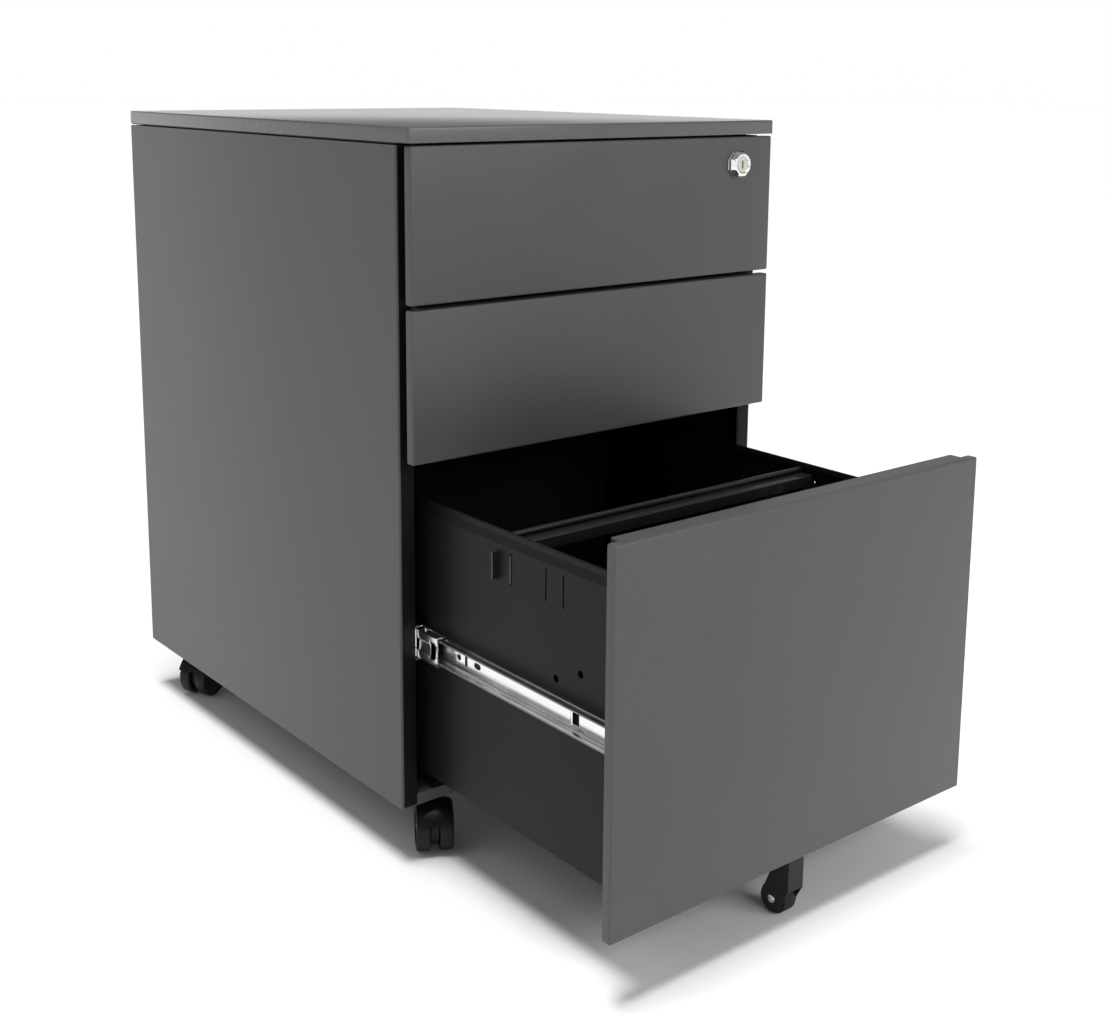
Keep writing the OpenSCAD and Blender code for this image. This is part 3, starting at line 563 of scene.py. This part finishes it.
def build_cross_bar():
    """Folded channel across the file drawer with a round bead along its top, and hooks
    through the side slots."""
    low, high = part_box("file_cross_bar")
    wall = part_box("file_drawer_body")[1].x
    half = 162.9 * MM
    hook_w, hook_root = 12 * MM, 1 * MM
    leg_low = high.z - 14 * MM
    bead_r = 2.2 * MM
    shelf = high.z - 2.2 * bead_r
    front_reach, back_reach = 0.6 * MM, 5.5 * MM
    bm = folded_pan(Vector((-half, low.y, leg_low)), Vector((half, high.y, shelf)),
                    -Z, X, -X, bend=0.9 * MM)
    for leg_y, reach in ((low.y, front_reach), (high.y, back_reach)):
        for sign in (-1, 1):
            leg = face_at(bm, Vector((0, leg_y, leg_low + 3 * MM)), 1)
            split(bm, [leg], X * sign * (half - hook_w), X)
            hook = Vector((sign * (half - 3 * MM), leg_y, leg_low + 3 * MM))
            split(bm, [face_at(bm, hook, 1)], Vector((0, 0, leg_low + hook_root)), Z)
            foot = open_edges(bm, lambda p: abs(p.y - leg_y) < SAME_PLACE
                              and abs(p.z - leg_low) < SAME_PLACE
                              and p.x * sign > half - hook_w - SAME_PLACE)
            for vert in draw_out(bm, foot):
                vert.co.z = low.z
            ends = open_edges(bm, lambda p: abs(p.y - leg_y) < SAME_PLACE
                              and p.z < leg_low + hook_root + 0.01 * MM
                              and abs(p.x - sign * half) < SAME_PLACE)
            for vert in draw_out(bm, ends):
                vert.co.x = sign * (wall + reach)
    thicken(bm)
    bead = Vector((0, high.y - bead_r, high.z - bead_r))
    add_rod(bm, bead_r, 2 * half, 24,
            Matrix.Translation(bead) @ Matrix.Rotation(pi / 2, 4, "Y"))
    add_box(bm, Vector((-half, high.y - SHEET, shelf - 0.5 * SHEET)),
            Vector((half, high.y, bead.z)))
    finish_piece("hanging_file_bar", bm, "file_drawer", bar_paint,
                 ["file_cross_bar"])


# ---- lock ----

# Radius, distance behind the bezel's front in mm, and how eight-sided: 0 is a circle
BEZEL = [(7.08, 0.9, 0), (7.43, 0.35, 0), (7.98, 0, 0), (9.4, 0.15, 0.25),
         (10.7, 0.9, 0.8), (12.0, 2.7, 1), (12.55, 3.4, 1), (12.6, 5.6, 1),
         (12.1, 5.9, 1), (12.1, 6.3, 1), (12.6, 6.6, 1)]
PLUG_HOLE_R, BEZEL_R, BARREL_R = 7.08 * MM, 12.6 * MM, 9 * MM


def build_lock():
    """Chrome lock housing: an eight-sided bezel with a polished chamfer, on a round
    barrel."""
    low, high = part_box("lock_housing")
    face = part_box("top_drawer_front")[0].y
    centre = (low + high) / 2
    count = 48

    def ring(radius, y, flat):
        points = []
        for k in range(count):
            turn = 2 * pi * k / count + pi / 8
            inside = (turn - pi / 8) % (pi / 4) - pi / 8
            octagon = radius * cos(pi / 8) / cos(inside)
            r = octagon * flat + radius * (1 - flat)
            points.append(Vector((centre.x + r * sin(turn), y,
                                  centre.z + r * cos(turn))))
        return points

    rings = [ring(PLUG_HOLE_R, high.y, 0)]
    rings += [ring(radius * MM, low.y + back * MM, flat)
              for radius, back, flat in BEZEL]
    rings += [ring(BEZEL_R, face, 1), ring(BARREL_R, face, 0),
              ring(BARREL_R, high.y, 0)]
    bm = bmesh.new()
    skin_rings(bm, rings)
    finish_piece("lock_bezel", bm, "top_drawer", chrome,
                 ["lock_housing"], smooth=24)


# ---- casters ----

# Outlines are (radius, distance from the wheels' middle) in mm
WHEEL = [(3.1, 3.9), (5.6, 3.9), (5.6, 11.5), (16.4, 11.5), (16.4, 3.9), (18.9, 3.9),
         (19.7, 4.5), (20.0, 5.6), (20.0, 13.6), (19.7, 14.7), (18.9, 15.35),
         (17.6, 15.5), (16.7, 15.2), (16.2, 14.2), (14.9, 13.7), (10.2, 13.5),
         (8.9, 13.7), (8.3, 14.4), (6.8, 14.6), (4.2, 14.6), (3.8, 14.2), (3.1, 14.1)]
GUARD = mirrored([(21.3, -15.5), (21.9, -15.5), (22.5, -15.0), (22.9, -13.8),
                  (23.0, -12.4), (23.0, -3.0)])
GUARD_REACH = radians(66)
AXLE = mirrored([(0.01, -14.9), (1.6, -14.8), (2.6, -14.4), (3.0, -13.7)])

WEB_R, WEB_W = 15 * MM, 6.4 * MM
BLOCK_LEN, BLOCK_LOW, BLOCK_AHEAD = 26 * MM, 21 * MM, 7 * MM
BOLT_R, BOSS_R = 4.05 * MM, 10 * MM


def cut_guard_slot(bm, hub, axis, away):
    """Sinks the slot in the front of the guard."""
    slot_faces = []
    for face in bm.faces:
        spot = face.calc_center_median() - hub
        on_crown = abs(spot.dot(axis)) < 2.9 * MM and spot.length > 22.6 * MM
        if on_crown and 15.5 * MM < spot.dot(away) < 19.6 * MM:
            slot_faces.append(face)
    bmesh.ops.inset_region(bm, faces=slot_faces, thickness=0.3 * MM, depth=0)
    bmesh.ops.inset_region(bm, faces=slot_faces, thickness=0.05 * MM, depth=-1.4 * MM)


def build_caster(corner):
    """Hood, wheels and axle of one twin-wheel caster."""
    joints = {j["name"]: j for j in frame["joints"]}
    roll = joints[f"{corner}_wheels_spin"]
    pivot = joints[f"{corner}_caster_swivel"]
    hub = Vector(roll["pos_m"])
    axis = Vector(roll["axis"]).normalized()
    post = Vector((pivot["pos_m"][0], pivot["pos_m"][1], 0))
    away = (Vector((hub.x, hub.y, 0)) - post).normalized()
    swivel = f"{corner}_swivel"

    # Wheels: rounded treads, a dished face with a raised ring, and a hub
    bm = bmesh.new()
    for sign in (-1, 1):
        turned(bm, [(r * MM, sign * a * MM) for r, a in WHEEL], hub, axis, Z)
    finish_piece(f"{corner}_wheel_pair", bm, f"{corner}_roller",
                 tread, [f"{corner}_caster_wheels"], smooth=40)

    # Hood: a crowned guard over both wheels, the web between them and the swivel boss
    bm = bmesh.new()
    turned(bm, in_mm(GUARD), hub, axis, Z, steps=44, start=-GUARD_REACH,
           angle=2 * GUARD_REACH)
    cut_guard_slot(bm, hub, axis, away)
    add_rod(bm, WEB_R, WEB_W, 48, Matrix.Translation(hub)
            @ axis.to_track_quat("Z", "Y").to_matrix().to_4x4())
    top_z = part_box(f"{corner}_caster_hood")[1].z
    block_top = top_z - 3 * MM
    block = bmesh.ops.create_cube(
        bm, size=1, matrix=Matrix.Translation(
            post + away * BLOCK_AHEAD + Z * (BLOCK_LOW + block_top) / 2)
        @ Matrix((away, axis, Z)).transposed().to_4x4()
        @ Matrix.Diagonal((BLOCK_LEN, WEB_W, block_top - BLOCK_LOW, 1)))["verts"]
    edge = 0.8 * MM
    boss = [(BOLT_R, 34.8 * MM), (6 * MM, 34.8 * MM), (6 * MM, 41 * MM),
            (BOSS_R - edge, 41.2 * MM), (BOSS_R, 42 * MM), (BOSS_R, top_z - edge),
            (BOSS_R - edge, top_z), (BOLT_R, top_z)]
    turned(bm, boss, post, Z, away, steps=48)
    block_edges = each_once(e for vert in block for e in vert.link_edges)
    round_edges(bm, block_edges, 0.7 * MM, 2)
    finish_piece(f"{corner}_hood", bm, swivel, hood_nylon,
                 [f"{corner}_caster_hood"], smooth=40)

    # Axle, with a bright domed end standing in each hub
    bm = bmesh.new()
    turned(bm, in_mm(AXLE), hub, axis, Z, steps=32)
    finish_piece(f"{corner}_axle_pin", bm, swivel, zinc,
                 [f"{corner}_caster_axle"])


# ---- anti-tip wheel ----

TIP_ROLLER = mirrored([(2.05, -6.5), (5.0, -6.5), (5.4, -6.0), (9.6, -6.0),
                       (10.0, -6.5), (11.5, -6.5), (12.2, -6.1), (12.5, -5.3)])


def build_tip_wheel():
    """Anti-tip roller, and the rivet it turns on, with a slot in each head."""
    spin = next(j for j in frame["joints"] if j["name"] == "tip_wheel_spin")
    hub = Vector(spin["pos_m"])
    bm = bmesh.new()
    turned(bm, in_mm(TIP_ROLLER), hub, X, Z, steps=56)
    finish_piece("anti_tip_roller", bm, "tip_roller", tread,
                 ["tip_wheel"])

    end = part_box("tip_axle")[1].x / MM
    head_r, shank_r, head_back = 3.5, 2.0, 8.3
    slot_half, slot_depth = 0.55 * MM, 0.7 * MM
    rivet = mirrored([(0.01, -end), (1.8, -end), (2.9, -end + 0.35),
                      (head_r, -end + 1.1), (head_r, -head_back),
                      (shank_r, -head_back)])
    bm = bmesh.new()
    turned(bm, in_mm(rivet), hub, X, Z, steps=40)
    for side in (-1, 1):
        split(bm, bm.faces[:], hub + Z * side * slot_half, Z)
    for vert in bm.verts:
        in_head = abs(vert.co.x) > (head_back + 0.5) * MM
        if in_head and abs(vert.co.z - hub.z) < 0.4 * MM:
            vert.co.x -= slot_depth if vert.co.x > 0 else -slot_depth
    finish_piece("anti_tip_rivet", bm, "file_drawer", zinc, ["tip_axle"])


build_top()
build_side("left", -1)
build_side("right", 1)
for drawer in DRAWERS:
    build_front(drawer)
    build_rails(drawer)
    build_cages(drawer)
build_cross_bar()
build_lock()
for corner in CORNERS:
    build_caster(corner)
build_tip_wheel()

# ---- floor, light and camera ----

FLOOR_SIZE = 30
FLOOR_WHITE = (0.93, 0.93, 0.93)

# The studio walls glow up to the first height and fade to the sky's level at the second
WALL_GLOW = (0.05, 0.32)
SKY_LEVEL = 0.22
OVERHEAD = 2.7
SOFTNESS = radians(19)
LAMP_AIM = (0.13, 0.0, -1)

CAMERA_PLACE = (-0.8143, -1.0755, 0.6401)
YAW, PITCH, ROLL = radians(38.798), radians(10.461), radians(0.442)
LENS, SENSOR = 49.031, 36
SHIFT_Y = -0.1444

bm = bmesh.new()
bmesh.ops.create_grid(bm, x_segments=1, y_segments=1, size=FLOOR_SIZE)
floor_mesh = bpy.data.meshes.new("studio_floor")
bm.to_mesh(floor_mesh)
bm.free()
floor_finish = Finish("floor_paper", FLOOR_WHITE, 0.9, specular=0.1)
floor_finish.vary("Base Color", floor_finish.blend(
    floor_finish.grain(3), (0.92, 0.92, 0.92), (0.94, 0.94, 0.94)))
floor_mesh.materials.append(floor_finish.material)
floor = new_object("studio_floor", floor_mesh)

world = bpy.data.worlds.new("studio")
bpy.context.scene.world = world
world.use_nodes = True
sky = world.node_tree
direction = sky.nodes.new("ShaderNodeTexCoord")
parts = sky.nodes.new("ShaderNodeSeparateXYZ")
fade = sky.nodes.new("ShaderNodeMapRange")
fade.interpolation_type = "SMOOTHSTEP"
fade.inputs["From Min"].default_value = WALL_GLOW[0]
fade.inputs["From Max"].default_value = WALL_GLOW[1]
fade.inputs["To Min"].default_value = 1.0
fade.inputs["To Max"].default_value = SKY_LEVEL
sky.links.new(direction.outputs["Generated"], parts.inputs["Vector"])
sky.links.new(parts.outputs["Z"], fade.inputs["Value"])
sky.links.new(fade.outputs["Result"], sky.nodes["Background"].inputs["Strength"])
sky.nodes["Background"].inputs["Color"].default_value = (1, 1, 1, 1)

lamp_data = bpy.data.lights.new("overhead", "SUN")
lamp_data.energy = OVERHEAD
lamp_data.angle = SOFTNESS
lamp = new_object("overhead", lamp_data)
lamp.rotation_euler = Vector(LAMP_AIM).to_track_quat("-Z", "Y").to_euler()


def softbox(name, place, target, size, power):
    """A rectangular studio light that faces a target."""
    light = bpy.data.lights.new(name, "AREA")
    light.shape = "RECTANGLE"
    light.size, light.size_y = size
    light.energy = power
    box = new_object(name, light)
    box.location = place
    aim = Vector(target) - Vector(place)
    box.rotation_euler = aim.to_track_quat("-Z", "Y").to_euler()


softbox("front_box", (0.6, -3.0, 1.9), (0, -0.2, 0.5), (2.4, 1.3), 44)
softbox("left_box", (-2.2, 0.2, 2.4), (-0.2, 0.1, 0.4), (1.8, 1.4), 6)
bpy.context.scene.view_settings.view_transform = "Standard"

camera_data = bpy.data.cameras.new("camera")
camera = new_object("camera", camera_data)
camera_data.sensor_width = SENSOR
camera_data.lens = LENS
camera_data.shift_y = SHIFT_Y
camera_data.clip_end = 200
camera.matrix_world = (Matrix.Translation(CAMERA_PLACE)
                       @ Matrix.Rotation(-YAW, 4, "Z")
                       @ Matrix.Rotation(pi / 2 - PITCH, 4, "X")
                       @ Matrix.Rotation(ROLL, 4, "Z"))
bpy.context.scene.camera = camera
